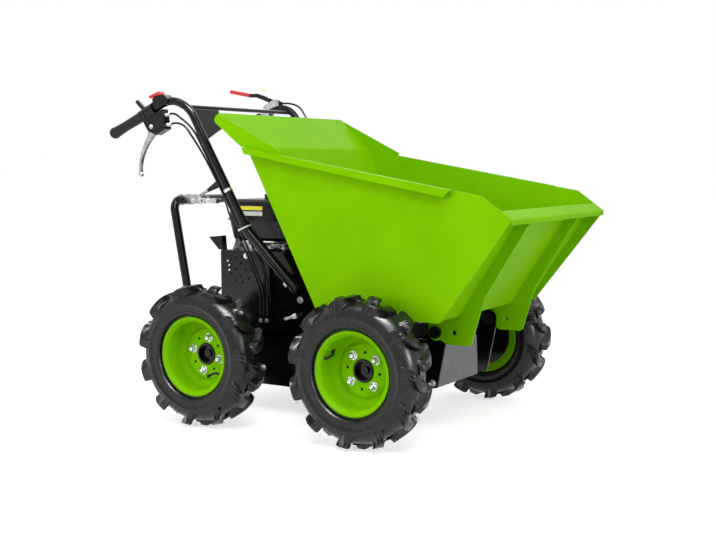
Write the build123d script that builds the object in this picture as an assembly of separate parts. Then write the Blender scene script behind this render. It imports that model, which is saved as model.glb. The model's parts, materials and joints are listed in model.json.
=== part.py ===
from build123d import *
import os
from math import cos, hypot, pi, radians, sin, tan

# Small four-wheel site dumper with a front-tipping tub, driven by a person walking behind it.
# Millimetres. X runs forward from the middle of the wheelbase, Y to the left, Z up from the ground.

# Overall
WHEELBASE = 534
AXLE_Z = 206

# Wheels: an eight-inch rim in a narrow tyre with eleven traction lugs on each side
WHEEL_Y = 391
LUGS = 11
LUG_TOP = radians(3.6)
LUG_FOOT = radians(5)
LUG_OVERLAP = 7
TYRE_SIDES = 2 * LUGS
TYRE_HALF_WIDTH = 54.5
CROWN_RADIUS = 189
CROWN_HALF_WIDTH = 22
RIM_RADIUS = 114.5
RIM_HALF_WIDTH = 39
RIM_SHEET = 4
RIM_LIP = 6.5
BEAD_RADIUS = 101
DISC_FACE = -23
DISC_THICKNESS = 5
DISC_STEP = 4
WHEEL_BORE = 32
BOLT_CIRCLE = 50
BOLT_HOLE = 6.2
SPARE_HOLE = 4.5
BOLT_ANGLE = {"front": 39, "rear": 77}
STUD_RADIUS = 6
STUD_REACH = 8
HUB_FLANGE_RADIUS = 69
DRUM_RADIUS = 90
SHAFT_RADIUS = 16

# Axle tubes
AXLE_RADIUS = 26
AXLE_BORE = 16.5
AXLE_FLANGE_RADIUS = 48
AXLE_END_Y = 325

# Chassis
SIDE_PLATE_Y = 160
SIDE_PLATE = 6
CHASSIS_REAR_X = -470
CHASSIS_LOW_Z = 88
REAR_LOW_Z = 150
REAR_PLATE = 4
DECK_Z = 268
DECK = 5
REST_X = 150
NOSE_LOW = (377, 136)
NOSE_HIGH = (403, 262)
LEDGE_X = (-240, 10)
LEDGE_Z = (256, 272)
LEDGE_WIDTH = 18
GLAND_X = (-226, -182)
GLAND_TOP_Z = 300

# Tub
PIVOT = (379, 293)
PIVOT_RADIUS = 10
EAR_RADIUS = 26
LOCK_HOLE = (434, 294.5)
LOCK_HOLE_RADIUS = 7
SHEET = 3
TUB_HALF_WIDTH = 328
TUB_FLOOR_Z = 338
TUB_REAR_FOOT_X = 79
TUB_REAR_TOP = (-142, 797)
TUB_NOSE_FOOT_X = 447
TUB_NOSE_TOP = (638, 632)
NOSE_BEND = 14
REAR_BEND = 30
LIP_EDGE = (668, 610)
LIP_END = (667, 599)
LIP_BEND = 4
WALL_TOE_X = 462
WALL_CORNER = (671, 612)
WALL_LEAN = 3.2
SIDE_SHOULDER = (590, 670.5)
BOARD_TOP = (-248, 896)
BOARD_FRONT_X = -26
CHEEK_REAR_X = -163
CHEEK_CORNER = (-262, 876)
CHEEK_STEP = 10
RIM_FLANGE = 17
RIM_FLANGE_DROP = 18
RIM_FLANGE_FRONT = 508
RIM_FLANGE_RUNOUT = 70
RIB_Y = 166
RIB = 5
RIB_EAR = 24

# Engine
CRANK = (-235, 372)
CYLINDER_LEAN = 25
TANK_LENGTH = 256
TANK_WIDTH = 190
TANK_HEIGHT = 129
TANK_LOW_Z = 516
TANK_SEAM = 67
TANK_CORNER = 34
TANK_X = -262
TANK_Y = -25
COVER_REAR_X = -385
COVER_FRONT_X = -62
COVER_TOP_Z = 490
COVER_Y = 150
COVER_DEPTH = 88
VENT_CENTRE = (-308, 432)
VENT_RADIUS = 3.5
VENTS = [(20, 4), (40, 9)]

# Handlebar
HANDLE_Y = 280
HANDLE_RADIUS = 12
ARM_RADIUS = 16
GRIP_RADIUS = 15
GRIP_LENGTH = 128
KNOB_RADIUS = 18
GRIP_END = (-690, 850)
LEFT_GRIP_START = 26
HANDLE_CORNER = (-418, 966)
HANDLE_BEND = 85
HANDLE_JOINT = (-243, 217, 579)
HANDLE_FOOT = (-79, 183, 387)
SOCKET = 28
CROSSBAR = (-423, 924)
CROSSBAR_RADIUS = 6
LEVER_WIDTH = 10
HOUSING_HALF_WIDTH = 13
HOUSING_LOW = (-474, 858)
HOUSING_HIGH = (-486, 917)
THROTTLE_RING = 14
THROTTLE_RADIUS = 18
DRIVE_TIP = (-676, 1004)
DRIVE_HEEL = (-584, 987)
DRIVE_ROD_RADIUS = 4
DRIVE_GRIP_RADIUS = 6.5
CABLE_RADIUS = 3.2
CABLE_BEND_SHARE = 0.45

# Rear guard
GUARD_Y = 150
GUARD_RADIUS = 13.5
GUARD_FOOT = (-492, 205)
GUARD_TOP = (-574, 640)
GUARD_BEND = 34
LEVER_Y = 88
LEVER_LOW = (-548, 637)
LEVER_HIGH = (-434, 694)
LEVER_PIN_RADIUS = 5
GATE_HALF_WIDTH = 26
COLLAR_LENGTH = 14
GEAR_CABLE_START = (-430, -107, 638)
KNOB_START = 74


def slab(outline, y_low, y_high):
    """Plate of an (x, z) outline, standing between two values of y."""
    return extrude(Plane.XZ.offset(-y_high) * outline, y_high - y_low, dir=(0, -1, 0))


def both_sides(shape):
    """The shape and its mirror image across the machine's middle plane."""
    return [shape, mirror(shape, about=Plane.XZ)]


def rod(path, radius):
    """Round bar along a path."""
    return sweep(Plane(path @ 0, z_dir=path % 0) * Circle(radius), path=path)


def ring_of_facets(profile, sides):
    """Ring about the Y axis, its closed (radius, y) profile turned in flat facets."""
    step = 2 * pi / sides
    stretch = 1 / cos(step / 2)
    angles = [(index + 0.5) * step - pi / 2 for index in range(sides + 1)]
    faces = []
    for (r1, y1), (r2, y2) in zip(profile, profile[1:] + profile[:1]):
        for a, b in zip(angles, angles[1:]):
            corners = [(r1, y1, a), (r2, y2, a), (r2, y2, b), (r1, y1, b)]
            points = [(r * stretch * cos(t), y, r * stretch * sin(t)) for r, y, t in corners]
            faces.append(make_face(Polyline(*points, close=True)).face())
    return Solid(Shell(faces))


def along(start, end, distance):
    """Point at a distance from one (x, z) point towards another."""
    length = hypot(end[0] - start[0], end[1] - start[1])
    share = distance / length
    return (start[0] + (end[0] - start[0]) * share, start[1] + (end[1] - start[1]) * share)


# Wheels, drawn with the outward side towards +Y


def on_wheel(radius, y, angle):
    """Point at a radius and angle about the wheel's Y axis."""
    return (radius * cos(angle), y, radius * sin(angle))


def faceted(quads):
    """Closed solid of four-sided faces, each cut into two flat triangles."""
    faces = []
    for a, b, c, d in quads:
        for corners in ((a, b, c), (a, c, d)):
            faces.append(make_face(Polyline(*corners, close=True)).face())
    return Solid(Shell(faces))


def lug(start, side):
    """Tread bar from the shoulder to just past the middle of the tread, half a pitch ahead."""
    lug_tip = AXLE_Z / cos(LUG_TOP)
    stations = [
        (TYRE_HALF_WIDTH, 158, 199, 0),
        (-LUG_OVERLAP, 172, lug_tip, 1),
    ]
    ends = []
    for y, foot, top, share in stations:
        middle = start - share * pi / LUGS
        feet = [on_wheel(foot, side * y, middle + turn) for turn in (-LUG_FOOT, LUG_FOOT)]
        tops = [on_wheel(top, side * y, middle + turn) for turn in (LUG_TOP, -LUG_TOP)]
        ends.append(feet + tops)
    near, far = ends
    sides = [(near[i - 1], near[i], far[i], far[i - 1]) for i in range(4)]
    return faceted([near, far] + sides)


def tyre():
    """Round carcass with two staggered rows of slanted lugs, one lug flat on the ground."""
    half = [
        (BEAD_RADIUS + 0.3, 31),
        (RIM_RADIUS + 0.8, 34.5),
        (123, 48),
        (150, TYRE_HALF_WIDTH - 2),
        (176, 45),
        (CROWN_RADIUS, CROWN_HALF_WIDTH),
    ]
    other = [(radius, -y) for radius, y in reversed(half)]
    carcass = ring_of_facets(half + other, TYRE_SIDES)
    pitch = 2 * pi / LUGS
    outer_row = [lug(-pi / 2 + pitch * index, 1) for index in range(LUGS)]
    inner_row = [lug(-pi / 2 + pitch * (index + 0.5), -1) for index in range(LUGS)]
    return carcass.fuse(*outer_row, *inner_row)


def rim(bolt_angle):
    """Pressed rim: rolled lip, bead seats, and a deep bowl that ends in a raised disc."""
    back = DISC_FACE - DISC_THICKNESS
    gutter = DISC_FACE - DISC_STEP
    seat = BEAD_RADIUS - RIM_SHEET
    bowl = FilletPolyline(
        (RIM_RADIUS, 35.5),
        (RIM_RADIUS, RIM_HALF_WIDTH),
        (RIM_RADIUS - RIM_LIP, RIM_HALF_WIDTH),
        (seat + 2, 29),
        (seat - 2, -14),
        (86, gutter),
        (77, gutter),
        (70, DISC_FACE),
        (WHEEL_BORE, DISC_FACE),
        radius=[2, 3, 10, 8, 8, 3, 3],
    )
    outside = Polyline(
        (WHEEL_BORE, DISC_FACE),
        (WHEEL_BORE, back),
        (71, back),
        (78, back - DISC_STEP),
        (seat, back - DISC_STEP),
        (seat, -35),
        (RIM_RADIUS - RIM_SHEET, -RIM_HALF_WIDTH),
        (RIM_RADIUS, -RIM_HALF_WIDTH),
        (RIM_RADIUS, -35.5),
        (BEAD_RADIUS, -32.5),
        (BEAD_RADIUS, 32.5),
        (RIM_RADIUS, 35.5),
    )
    body = revolve(make_face(bowl + outside), Axis.Y)
    face = Plane.XZ.offset(-DISC_FACE)
    bolts = face * PolarLocations(BOLT_CIRCLE, 4, start_angle=bolt_angle)
    spares = face * PolarLocations(BOLT_CIRCLE, 4, start_angle=bolt_angle + 45)
    depth = 2 * DISC_THICKNESS
    drilled = bolts * Cylinder(BOLT_HOLE, 2 * depth) + spares * Cylinder(SPARE_HOLE, 2 * depth)
    return body - drilled


def hub(bolt_angle):
    """Wide hub behind the disc, with a cupped spigot through it, the axle's end, studs and stub shaft."""
    back = DISC_FACE - DISC_THICKNESS
    boss_end = AXLE_END_Y + 4 - WHEEL_Y
    shaft_end = AXLE_END_Y - 64 - WHEEL_Y
    profile = [
        (0, DISC_FACE - 4),
        (11, DISC_FACE - 4),
        (11, DISC_FACE - 12),
        (23, DISC_FACE - 12),
        (25, DISC_FACE + 4),
        (30, DISC_FACE + 4),
        (WHEEL_BORE - 0.5, DISC_FACE + 2),
        (WHEEL_BORE - 0.5, back),
        (HUB_FLANGE_RADIUS, back),
        (HUB_FLANGE_RADIUS, back - DISC_STEP - 1),
        (DRUM_RADIUS, back - DISC_STEP - 1),
        (DRUM_RADIUS, back - 12),
        (40, back - 14),
        (34, boss_end),
        (SHAFT_RADIUS, boss_end),
        (SHAFT_RADIUS, shaft_end),
        (0, shaft_end),
    ]
    body = revolve(Polygon(*profile, align=None), Axis.Y)
    bolts = Plane.XZ.offset(-back) * PolarLocations(BOLT_CIRCLE, 4, start_angle=bolt_angle)
    studs = bolts * extrude(Circle(STUD_RADIUS), -DISC_THICKNESS - STUD_REACH)
    return body + studs


def wheels():
    """Tyre, rim and hub of the four wheels."""
    nodes = {}
    rubber = tyre()
    for end, x in (("front", WHEELBASE / 2), ("rear", -WHEELBASE / 2)):
        pieces = {"tyre": rubber, "rim": rim(BOLT_ANGLE[end]), "hub": hub(BOLT_ANGLE[end])}
        for side, sign in (("left", 1), ("right", -1)):
            for name, shape in pieces.items():
                turned = shape if sign > 0 else mirror(shape, about=Plane.XZ)
                nodes[f"{name}_{end}_{side}"] = Pos(x, sign * WHEEL_Y, AXLE_Z) * turned
    return nodes


# Chassis


def axle_tubes(x):
    """Flanged tubes on the side plates that the stub shafts turn in."""
    tube_profile = [
        (AXLE_BORE, SIDE_PLATE_Y),
        (AXLE_FLANGE_RADIUS, SIDE_PLATE_Y),
        (AXLE_FLANGE_RADIUS, SIDE_PLATE_Y + 12),
        (AXLE_RADIUS, SIDE_PLATE_Y + 24),
        (AXLE_RADIUS, AXLE_END_Y),
        (AXLE_BORE, AXLE_END_Y),
    ]
    tube = revolve(Polygon(*tube_profile, align=None), Axis.Y)
    return Compound(both_sides(Pos(x, 0, AXLE_Z) * tube))


def side_plates():
    """Upright plates with pivot ears and handle uprights, a ledge outside and the cables' gland on it."""
    outline = Polygon(
        (CHASSIS_REAR_X, DECK_Z),
        (CHASSIS_REAR_X, REAR_LOW_Z),
        (CHASSIS_REAR_X + 50, CHASSIS_LOW_Z),
        (170, CHASSIS_LOW_Z),
        NOSE_LOW,
        NOSE_HIGH,
        (PIVOT[0] + EAR_RADIUS, PIVOT[1]),
        (PIVOT[0] - EAR_RADIUS, PIVOT[1]),
        (PIVOT[0] - 50, DECK_Z),
        (-20, DECK_Z),
        (-45, 425),
        (-125, 425),
        (-140, DECK_Z),
        align=None,
    )
    ear = Pos(*PIVOT) * Circle(EAR_RADIUS)
    pin = Pos(*PIVOT) * Circle(PIVOT_RADIUS)
    plate = slab(outline + ear - pin, SIDE_PLATE_Y - SIDE_PLATE, SIDE_PLATE_Y)
    low, high = LEDGE_Z
    rear, front = LEDGE_X
    strip = Polygon((rear, low), (front, low), (front - 12, high), (rear, high), align=None)
    ledge = slab(strip, SIDE_PLATE_Y, SIDE_PLATE_Y + LEDGE_WIDTH)
    rear, front = GLAND_X
    block = Polygon((rear, high), (front, high), (front, GLAND_TOP_Z), (rear, GLAND_TOP_Z), align=None)
    gland = slab(block, SIDE_PLATE_Y, SIDE_PLATE_Y + LEDGE_WIDTH - 2)
    return Compound(both_sides(plate + ledge + gland))


def pivot_pins():
    """Headed pins through the side plates' ears and the tub's ribs."""
    length = RIB_Y + RIB + 3 - SIDE_PLATE_Y + SIDE_PLATE
    head_radius = 17
    pin = extrude(Circle(PIVOT_RADIUS), length)
    head = Pos(0, 0, length) * extrude(Circle(head_radius), 8)
    inner = extrude(Circle(head_radius), -6)
    start = Plane((PIVOT[0], SIDE_PLATE_Y - SIDE_PLATE, PIVOT[1]), z_dir=(0, 1, 0))
    return Compound(both_sides(start * (pin + head + inner)))


def front_plate():
    """Slanted plate between the side plates, cut away towards the left."""
    inside = SIDE_PLATE_Y - SIDE_PLATE
    rise = (NOSE_HIGH[0] - NOSE_LOW[0], NOSE_HIGH[1] - NOSE_LOW[1])
    length = hypot(*rise)
    face = Plane((NOSE_LOW[0], 0, NOSE_LOW[1]), x_dir=(0, 1, 0), z_dir=(rise[1], 0, -rise[0]))
    high_left = 30
    low_left = 92
    outline = Polygon((-inside, 0), (low_left, 0), (high_left, length), (-inside, length), align=None)
    return extrude(face * outline, 4, dir=(-rise[1], 0, rise[0]))


def deck():
    """Plate that closes the chassis above and carries the engine."""
    inside = SIDE_PLATE_Y - SIDE_PLATE
    front_x = 40
    length = front_x - CHASSIS_REAR_X
    plate = Box(length, 2 * inside, DECK, align=(Align.MAX, Align.CENTER, Align.MIN))
    return Pos(front_x, 0, DECK_Z - DECK) * plate


def belly_plate():
    """Plate that closes the chassis below."""
    inside = SIDE_PLATE_Y - SIDE_PLATE
    floor = Box(580, 2 * inside, 4, align=(Align.MIN, Align.CENTER, Align.MIN))
    return Pos(CHASSIS_REAR_X + 52, 0, CHASSIS_LOW_Z) * floor


def gearbox():
    """Closed transmission between the side plates."""
    inside = SIDE_PLATE_Y - SIDE_PLATE
    height = DECK_Z - DECK - CHASSIS_LOW_Z - 24
    case = Box(360, 2 * inside - 90, height, align=(Align.CENTER, Align.CENTER, Align.MIN))
    case = fillet(case.edges().filter_by(Axis.Z), 18)
    return Pos(-80, 0, CHASSIS_LOW_Z + 4) * case


def tub_rest():
    """Cross beam with two rubber pads under the tub floor."""
    inside = SIDE_PLATE_Y - SIDE_PLATE
    beam = Box(50, 2 * inside, 40, align=(Align.CENTER, Align.CENTER, Align.MAX))
    pad_height = TUB_FLOOR_Z - DECK_Z - 0.5
    pads = [Pos(0, y, 0) * extrude(Circle(22), pad_height) for y in (-100, 100)]
    return Pos(REST_X, 0, DECK_Z) * (beam + pads)


# Tub


def tub_section():
    """Side view of the bent sheet's underside: rear wall, floor, rounded toe and nose slope."""
    rear_foot = (TUB_REAR_FOOT_X, TUB_FLOOR_Z)
    toe = (TUB_NOSE_FOOT_X, TUB_FLOOR_Z)
    return FilletPolyline(TUB_REAR_TOP, rear_foot, toe, TUB_NOSE_TOP, radius=[REAR_BEND, NOSE_BEND])


def lean_in(shape):
    """The shape turned about the left wall's top inner edge, so that it leans in towards the floor."""
    start = (TUB_REAR_TOP[0], TUB_HALF_WIDTH - SHEET, TUB_REAR_TOP[1])
    run = (SIDE_SHOULDER[0] - TUB_REAR_TOP[0], 0, SIDE_SHOULDER[1] - TUB_REAR_TOP[1])
    return shape.rotate(Axis(start, run), -WALL_LEAN)


def tub_pan():
    """Rear wall, floor, nose and folded lip, bent from one sheet and cut to fit between the walls."""
    rear_foot = (TUB_REAR_FOOT_X, TUB_FLOOR_Z)
    toe = (TUB_NOSE_FOOT_X, TUB_FLOOR_Z)
    bends = [REAR_BEND, NOSE_BEND, LIP_BEND, LIP_BEND]
    under = FilletPolyline(TUB_REAR_TOP, rear_foot, toe, TUB_NOSE_TOP, LIP_EDGE, LIP_END, radius=bends)
    section = make_face(offset(under, SHEET, side=Side.LEFT))
    inside = TUB_HALF_WIDTH - SHEET
    beyond = Box(2000, 200, 2000, align=(Align.CENTER, Align.MIN, Align.CENTER))
    outer = lean_in(Pos(0, inside, TUB_FLOOR_Z) * beyond)
    return slab(section, -inside, inside) - both_sides(outer)


def side_top(x):
    """Height of the side wall's straight top edge."""
    slope = (SIDE_SHOULDER[1] - TUB_REAR_TOP[1]) / (SIDE_SHOULDER[0] - TUB_REAR_TOP[0])
    return TUB_REAR_TOP[1] + slope * (x - TUB_REAR_TOP[0])


def tub_side():
    """Left side wall with its folded rim flange, which runs out to the wall's shoulder."""
    corners = [(WALL_TOE_X, TUB_FLOOR_Z), (TUB_REAR_FOOT_X, TUB_FLOOR_Z)]
    lower = FilletPolyline(WALL_CORNER, *corners, TUB_REAR_TOP, radius=[NOSE_BEND, REAR_BEND])
    upper = Polyline(TUB_REAR_TOP, SIDE_SHOULDER, WALL_CORNER)
    wall = lean_in(slab(make_face(lower + upper), TUB_HALF_WIDTH - SHEET, TUB_HALF_WIDTH))
    rear, front = TUB_REAR_TOP[0] - 8, RIM_FLANGE_FRONT
    root = TUB_HALF_WIDTH - 1
    outer = TUB_HALF_WIDTH + RIM_FLANGE
    strips = []
    for depth, y_low in ((SHEET, root), (RIM_FLANGE_DROP, outer - SHEET)):
        top = [(rear, side_top(rear)), (front, side_top(front))]
        low = [(front - depth, side_top(front) - depth), (rear + depth / 2, side_top(rear) - depth)]
        strips.append(slab(Polygon(*top, *low, align=None), y_low, outer))
    end = front + RIM_FLANGE_RUNOUT
    start = front - RIM_FLANGE_DROP
    edge = [(start, side_top(start)), (end, side_top(end))]
    fold = [(x, z - SHEET) for x, z in reversed(edge)]
    plan = Polygon((start, root), (start, outer), (front, outer), (end, root), align=None)
    runout = slab(Polygon(*edge, *fold, align=None), root, outer) & extrude(plan, 1000)
    return wall + strips + runout


def rear_board():
    """Backward-leaning board above the rear wall, with a triangular cheek at each end."""
    wall = Vector(TUB_REAR_FOOT_X - TUB_REAR_TOP[0], TUB_FLOOR_Z - TUB_REAR_TOP[1]).normalized()
    lean = Vector(TUB_REAR_TOP[0] - BOARD_TOP[0], TUB_REAR_TOP[1] - BOARD_TOP[1]).normalized()
    foot = Vector(*TUB_REAR_TOP)
    top = Vector(*BOARD_TOP)
    wall_side = Vector(-wall.Y, wall.X) * SHEET
    lean_side = Vector(-lean.Y, lean.X) * SHEET
    section = Polygon(foot, foot + wall_side, foot + lean_side, top + lean_side, top, align=None)
    inside = TUB_HALF_WIDTH - SHEET
    board = slab(section, -inside, inside)
    low = [(x, side_top(x)) for x in (CHEEK_REAR_X, BOARD_FRONT_X)]
    step = (BOARD_FRONT_X, low[1][1] + CHEEK_STEP)
    cheek = Polygon(*low, step, BOARD_TOP, CHEEK_CORNER, align=None)
    cheek = fillet(cheek.vertices().sort_by(Axis.X)[:2], 10)
    return board + both_sides(slab(cheek, inside, TUB_HALF_WIDTH))


def hinge_ribs():
    """Plates under the floor and nose that carry the tub on its pivot."""
    section = tub_section()
    space = make_face(section + Line(section @ 1, section @ 0))
    outline = Polygon(
        (412, 261),
        (478, 261),
        (486, 268),
        (517, 372),
        (526, 398),
        (649, 594),
        (606, 606),
        (440, TUB_FLOOR_Z + 40),
        (PIVOT[0] - RIB_EAR, TUB_FLOOR_Z + 9),
        (PIVOT[0] - RIB_EAR, PIVOT[1]),
        align=None,
    )
    ear = Pos(*PIVOT) * Circle(RIB_EAR)
    bore = Pos(*PIVOT) * Circle(PIVOT_RADIUS + 0.3)
    lock = Pos(*LOCK_HOLE) * Circle(LOCK_HOLE_RADIUS)
    plate = slab(outline + ear - space - bore - lock, RIB_Y, RIB_Y + RIB)
    return Compound(both_sides(plate))


# Engine


def engine_block():
    """Crankcase with its mounting foot, output shaft and two oil plugs at the rear."""
    case = Box(150, 150, 170, align=(Align.CENTER, Align.CENTER, Align.MIN))
    case = fillet(case.edges().filter_by(Axis.Y), 30)
    foot = Box(190, 150, 14, align=(Align.CENTER, Align.CENTER, Align.MIN))
    shaft = Pos(0, -75, CRANK[1] - DECK_Z) * Rot(90, 0, 0) * extrude(Circle(12), 55)
    plug = Rot(0, -65, 0) * extrude(RegularPolygon(15, 8), 92)
    plugs = [Pos(0, y, 40) * plug for y in (-48, 48)]
    neck = cylinder_plane() * extrude(Rectangle(84, 84), 96)
    return Pos(CRANK[0], 30, DECK_Z) * (case + foot + shaft + plugs) + neck


def cylinder_plane():
    """Frame at the crank with its Z axis along the leaning cylinder."""
    lean = radians(CYLINDER_LEAN)
    return Plane((CRANK[0], 30, CRANK[1]), x_dir=(0, 1, 0), z_dir=(cos(lean), 0, sin(lean)))


def engine_cylinder():
    """Finned barrel and head with a rocker cover and the spark plug's cap."""
    barrel = Pos(0, 0, 96) * extrude(Rectangle(78, 78), 62)
    fin = extrude(RectangleRounded(112, 104, 14), 3)
    fins = [Pos(0, 0, 101 + 9 * index) * fin for index in range(6)]
    cover = extrude(RectangleRounded(84, 74, 10), 22)
    cover = Pos(0, 0, 158) * fillet(cover.edges().group_by(Axis.Z)[-1], 5)
    plug = Pos(0, 30, 148) * Rot(-60, 0, 0) * extrude(Circle(9), 46)
    return cylinder_plane() * (barrel + fins + cover + plug)


def fuel_tank():
    """Pressed tank whose upper and lower halves taper away from a flange at the seam."""
    plan = RectangleRounded(TANK_LENGTH, TANK_WIDTH, TANK_CORNER)
    upper = extrude(plan, TANK_HEIGHT - TANK_SEAM, taper=3)
    upper = fillet(upper.edges().group_by(Axis.Z)[-1], 26)
    lower = extrude(plan, TANK_SEAM, dir=(0, 0, -1), taper=12)
    lower = fillet(lower.edges().group_by(Axis.Z)[0], 16)
    rim_width = 6
    flange = offset(plan, rim_width)
    seam = Pos(0, 0, -2) * extrude(flange, 4)
    return Pos(TANK_X, TANK_Y, TANK_LOW_Z + TANK_SEAM) * (upper + lower + seam)


def fuel_cap():
    """Screw cap with shallow finger flutes round its edge."""
    cap = extrude(Circle(31), 16)
    cap = fillet(cap.edges().group_by(Axis.Z)[-1], 4)
    flutes = PolarLocations(33, 12) * Cylinder(4, 40)
    return Pos(TANK_X + 15, TANK_Y - 30, TANK_LOW_Z + TANK_HEIGHT) * (cap - flutes)


def tank_bracket():
    """Posts that carry the tank above the crankcase, and a drilled plate under its right side."""
    height = TANK_LOW_Z - DECK_Z - 170
    post = Box(24, 90, height, align=(Align.CENTER, Align.CENTER, Align.MIN))
    posts = [Pos(CRANK[0] + x, 20, DECK_Z + 170) * post for x in (-28, 28)]
    outline = Polygon((-378, COVER_TOP_Z), (-204, COVER_TOP_Z), (-204, 514), (-366, 514), align=None)
    holes = Pos(-290, 502) * GridLocations(36, 1, 4, 1) * Circle(6)
    return Compound(posts + [slab(outline - holes, -100, -97)])


def air_cleaner():
    """Air filter box: a base, a crowned lid with a lip, and its wing knob."""
    plan = RectangleRounded(96, 84, 20)
    base = extrude(plan, 52)
    lip = Pos(0, 0, 52) * extrude(RectangleRounded(102, 90, 23), 6)
    lid = extrude(plan, 46, taper=4)
    lid = Pos(0, 0, 58) * fillet(lid.edges().group_by(Axis.Z)[-1], 14)
    knob = Pos(0, 0, 104) * (extrude(Circle(9), 10) + extrude(RectangleRounded(34, 9, 4), 14))
    return Pos(-118, 134, 505) * (base + lip + lid + knob)


def muffler():
    """Rounded silencer box with a slotted heat guard, an inlet pipe and a tail pipe."""
    body = Box(84, 56, 104)
    body = fillet(body.edges().filter_by(Axis.Y), 22)
    pipe = Pos(-6, -40, 12) * Rot(90, 0, 0) * Cylinder(11, 60)
    guard = extrude(Plane.XZ.offset(-28) * RectangleRounded(78, 98, 20), 5, dir=(0, 1, 0))
    slots = Plane.XZ.offset(-33) * GridLocations(28, 14, 2, 5) * extrude(SlotOverall(22, 5), 3, both=True)
    tail = Pos(30, 20, 40) * extrude(Circle(9) - Circle(7), 26)
    return Pos(-58, 121, 380) * (body + pipe + guard - slots + tail)


def recoil_starter():
    """Domed starter housing with radial air slots and a pull grip."""
    profile = [(0, 0), (96, 0), (96, 14), (84, 34), (40, 42), (0, 42)]
    drum = revolve(Polygon(*profile, align=None), Axis.Y)
    slots = Plane.XZ.offset(-38) * PolarLocations(63, 14) * extrude(SlotOverall(34, 7), 8, both=True)
    grip = Pos(-60, 20, 60) * Rot(0, -45, 0) * extrude(RectangleRounded(18, 40, 8), 30)
    return Pos(CRANK[0], 105, CRANK[1]) * (drum - slots + grip)


def carburettor():
    """Carburettor body with its float bowl, intake throat, and the governor's link and arm."""
    body = Box(40, 34, 30)
    bowl = Pos(0, 0, -15) * extrude(Circle(15), -16)
    throat = Pos(20, 0, 0) * Rot(0, 90, 0) * extrude(Circle(15) - Circle(11), 14)
    arm = Pos(-24, -15, 22) * Box(70, 3, 12)
    post = Pos(-10, -12, 8) * Box(8, 10, 32)
    spring = Pos(-40, -20, 22) * Rot(90, 0, 0) * Cylinder(4, 18)
    return Pos(-182, -44, 486) * (body + bowl + throat + arm + post + spring)


def belt_cover():
    """Sheet cover over the belt on the right, open towards the engine and below, with a ring of vents."""
    length = COVER_FRONT_X - COVER_REAR_X
    height = COVER_TOP_Z - DECK_Z
    outer = Box(length, COVER_DEPTH, height, align=(Align.MIN, Align.MIN, Align.MIN))
    outer = fillet(outer.edges().filter_by(Axis.Y).group_by(Axis.Z)[-1], 6)
    hollow = Pos(SHEET, SHEET, 0) * Box(
        length - 2 * SHEET, COVER_DEPTH, height - SHEET, align=(Align.MIN, Align.MIN, Align.MIN)
    )
    shell = Pos(COVER_REAR_X, -COVER_Y, DECK_Z) * (outer - hollow)
    centres = [spot for radius, count in VENTS for spot in PolarLocations(radius, count)]
    vents = [Pos(*VENT_CENTRE) * spot * Circle(VENT_RADIUS) for spot in centres]
    return shell - [slab(vent, -COVER_Y - 1, -COVER_Y + SHEET + 1) for vent in vents]


# Handlebar, drawn on the left and mirrored to the right


def on_side(side, x, z, y=HANDLE_Y):
    """Point on the left (1) or right (-1) side, in line with the handlebar unless y says otherwise."""
    return (x, side * y, z)


def handle_axis(distance):
    """Point (x, z) on the straight grip end of the tube, measured from its rear end."""
    return along(GRIP_END, HANDLE_CORNER, distance)


def grip_plane(side, distance):
    """Frame on the grip tube: X along the tube, Z square to it and up."""
    x, z = handle_axis(distance)
    run = (HANDLE_CORNER[0] - GRIP_END[0], 0, HANDLE_CORNER[1] - GRIP_END[1])
    return Plane((x, side * HANDLE_Y, z), x_dir=run, z_dir=(-run[2], 0, run[0]))


def handle_tubes():
    """Upper handlebar tubes: a grip end, shorter on the left, a wide bend and a leg to the arm's socket."""
    tubes = []
    for side, start in ((1, LEFT_GRIP_START), (-1, 0)):
        ends = [on_side(side, *handle_axis(start)), on_side(side, *HANDLE_CORNER)]
        joint = (HANDLE_JOINT[0], side * HANDLE_JOINT[1], HANDLE_JOINT[2])
        tubes.append(rod(FilletPolyline(*ends, joint, radius=[HANDLE_BEND]), HANDLE_RADIUS))
    return tubes


def handle_arms():
    """Thicker lower arms with a socket for the legs and a foot plate on the chassis."""
    corner = Vector(*on_side(1, *HANDLE_CORNER))
    joint = Vector(*HANDLE_JOINT)
    elbow = joint + (joint - corner).normalized() * SOCKET
    path = FilletPolyline(joint, elbow, HANDLE_FOOT, radius=[60])
    arm = rod(path, ARM_RADIUS)
    foot = Polygon((-128, 393), (-92, 424), (-46, 362), (-80, 330), align=None)
    plate = slab(fillet(foot.vertices(), 12), SIDE_PLATE_Y, SIDE_PLATE_Y + 12)
    return both_sides(arm + plate)


def ring(length, outer, inner=HANDLE_RADIUS):
    """Sleeve round the tube, along the local X axis."""
    return Rot(0, 90, 0) * extrude(Circle(outer) - Circle(inner), length)


def grips():
    """Rubber grips: a waisted sleeve with a collar in front and a ball at its rear end."""
    heel = GRIP_RADIUS + 1.5
    meet = (KNOB_RADIUS**2 - heel**2) ** 0.5
    ball = ThreePointArc((-KNOB_RADIUS, 0), (0, KNOB_RADIUS), (meet, heel))
    sleeve = Polyline(
        (meet, heel),
        (50, GRIP_RADIUS),
        (GRIP_LENGTH - 12, GRIP_RADIUS + 1),
        (GRIP_LENGTH - 8, KNOB_RADIUS),
        (GRIP_LENGTH, KNOB_RADIUS),
        (GRIP_LENGTH, HANDLE_RADIUS),
        (0, HANDLE_RADIUS),
        (0, 0),
        (-KNOB_RADIUS, 0),
    )
    grip = revolve(make_face(ball + sleeve), Axis.X)
    return Compound([grip_plane(1, LEFT_GRIP_START) * grip, grip_plane(-1, 0) * grip])


def crossbar():
    """Round bar between the two legs."""
    bar = Plane.XZ * Pos(*CROSSBAR) * extrude(Circle(CROSSBAR_RADIUS), HANDLE_Y, both=True)
    return bar - handle_tubes()


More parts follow.
